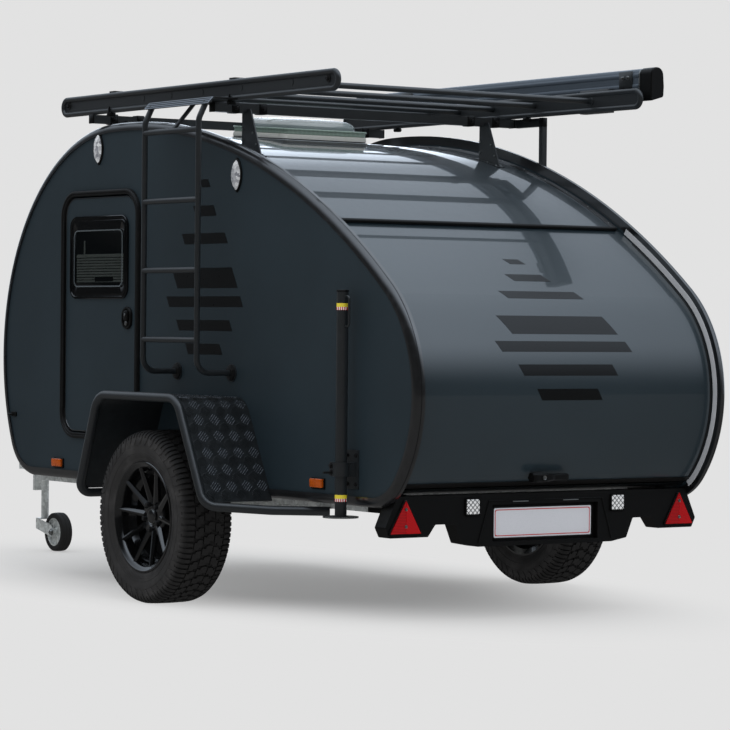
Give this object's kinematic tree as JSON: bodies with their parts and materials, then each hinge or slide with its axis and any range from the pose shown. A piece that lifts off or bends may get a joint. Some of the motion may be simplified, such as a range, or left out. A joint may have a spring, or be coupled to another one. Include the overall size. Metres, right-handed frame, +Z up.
{
  "type": "teardrop trailer",
  "caption": "Teardrop camping trailer with roof rack, ladder, awning, side doors, rear hatch, tube fenders, steady legs and a jockey wheel on an A-frame drawbar.",
  "frame": {"origin": "on the ground, on the centre line, half way between the tail and the front of the coupling", "axes": "+X forward towards the coupling, +Y to the trailer's left, +Z up"},
  "size_m": [4.6742, 2.3, 2.32],
  "materials": {
    "body_paint": "satin blue-grey paint on composite panels",
    "trim_black": "satin black",
    "white_plastic": "off-white moulded",
    "dome_acrylic": "cloudy clear acrylic",
    "black_plastic": "fine-grained black",
    "birch_board": "clear-lacquered plywood",
    "mattress_fabric": "woven cover",
    "window_acrylic": "dark tinted acrylic",
    "galvanised": "hot-dip galvanised",
    "wheel_black": "gloss black",
    "tyre": "tyre rubber",
    "jockey_rubber": "grey-black rubber on a pressed steel disc",
    "black_steel": "satin black powder coat",
    "tread_plate": "black coated tread plate",
    "plate_white": "blank white plate with a thin red border",
    "lamp_clear": "clear lens over a reflector",
    "reflector_red": "moulded red reflector",
    "awning_black": "anodised black, ribbed"
  },
  "bodies": {
    "trailer": {"side_wall_left": "body_paint", "side_wall_right": "body_paint", "edge_trim_left": "trim_black", "edge_trim_right": "trim_black", "floor_panel": "body_paint", "roof_shell": "body_paint", "skylight_base": "white_plastic", "skylight_dome": "dome_acrylic", "hatch_hinge": "trim_black", "galley": "birch_board", "mattress": "mattress_fabric", "door_frame_left": "trim_black", "door_frame_right": "trim_black", "chassis_frame": "galvanised", "coupling_head": "galvanised", "axle": "galvanised", "jockey_outer_tube": "galvanised", "steady_clamp_left": "black_steel", "steady_clamp_right": "black_steel", "fender_tube_left": "black_steel", "fender_tube_right": "black_steel", "fender_plate_left": "tread_plate", "fender_plate_right": "tread_plate", "bumper": "black_plastic", "number_plate": "plate_white", "rear_lamp_left": "lamp_clear", "rear_lamp_right": "lamp_clear", "reflector_left": "reflector_red", "reflector_right": "reflector_red", "roof_bar_front": "black_steel", "roof_bar_rear": "black_steel", "roof_rack": "black_steel", "awning": "awning_black", "side_post": "black_steel", "ladder": "black_steel"},
    "wheel_left": {"hub_left": "galvanised", "rim_left": "wheel_black", "tyre_left": "tyre"},
    "wheel_right": {"hub_right": "galvanised", "rim_right": "wheel_black", "tyre_right": "tyre"},
    "jockey_leg": {"jockey_inner_tube": "galvanised"},
    "jockey_fork": {"jockey_fork": "galvanised"},
    "jockey_wheel": {"jockey_wheel": "jockey_rubber"},
    "door_left": {"door_left": "body_paint", "door_window_left": "window_acrylic", "door_handle_left": "black_plastic"},
    "door_right": {"door_right": "body_paint", "door_window_right": "window_acrylic", "door_handle_right": "black_plastic"},
    "hatch": {"hatch_panel": "body_paint", "hatch_handle": "black_plastic"},
    "steady_leg_left": {"steady_leg_left": "black_steel"},
    "steady_leg_right": {"steady_leg_right": "black_steel"}
  },
  "joints": [
    {"name": "wheel_left_spin", "type": "hinge", "parent": "trailer", "child": "wheel_left", "pos_m": [-0.812, 1.015, 0.3685], "axis": [0, 1, 0], "continuous": true},
    {"name": "wheel_right_spin", "type": "hinge", "parent": "trailer", "child": "wheel_right", "pos_m": [-0.812, -1.015, 0.3685], "axis": [0, 1, 0], "continuous": true},
    {"name": "jockey_slide", "type": "slide", "parent": "trailer", "child": "jockey_leg", "axis": [0, 0, 1], "range_m": [-0.1, 0.18]},
    {"name": "jockey_swivel", "type": "hinge", "parent": "jockey_leg", "child": "jockey_fork", "pos_m": [2.085, 0, 0.15], "axis": [0, 0, 1], "continuous": true},
    {"name": "jockey_wheel_spin", "type": "hinge", "parent": "jockey_fork", "child": "jockey_wheel", "pos_m": [1.94, 0, 0.1], "axis": [0, 1, 0], "continuous": true},
    {"name": "door_left_hinge", "type": "hinge", "parent": "trailer", "child": "door_left", "pos_m": [0.461, 0.8015, 1.2], "axis": [0, 0, -1], "range_deg": [0, 100]},
    {"name": "door_right_hinge", "type": "hinge", "parent": "trailer", "child": "door_right", "pos_m": [0.461, -0.8015, 1.2], "axis": [0, 0, 1], "range_deg": [0, 100]},
    {"name": "hatch_hinge", "type": "hinge", "parent": "trailer", "child": "hatch", "pos_m": [-1.6726, 0, 1.61766], "axis": [0, 1, 0], "range_deg": [0, 80]},
    {"name": "steady_left_slide", "type": "slide", "parent": "trailer", "child": "steady_leg_left", "axis": [0, 0, -1], "range_m": [-0.03, 0.41]},
    {"name": "steady_right_slide", "type": "slide", "parent": "trailer", "child": "steady_leg_right", "axis": [0, 0, -1], "range_m": [-0.03, 0.41]}
  ]
}
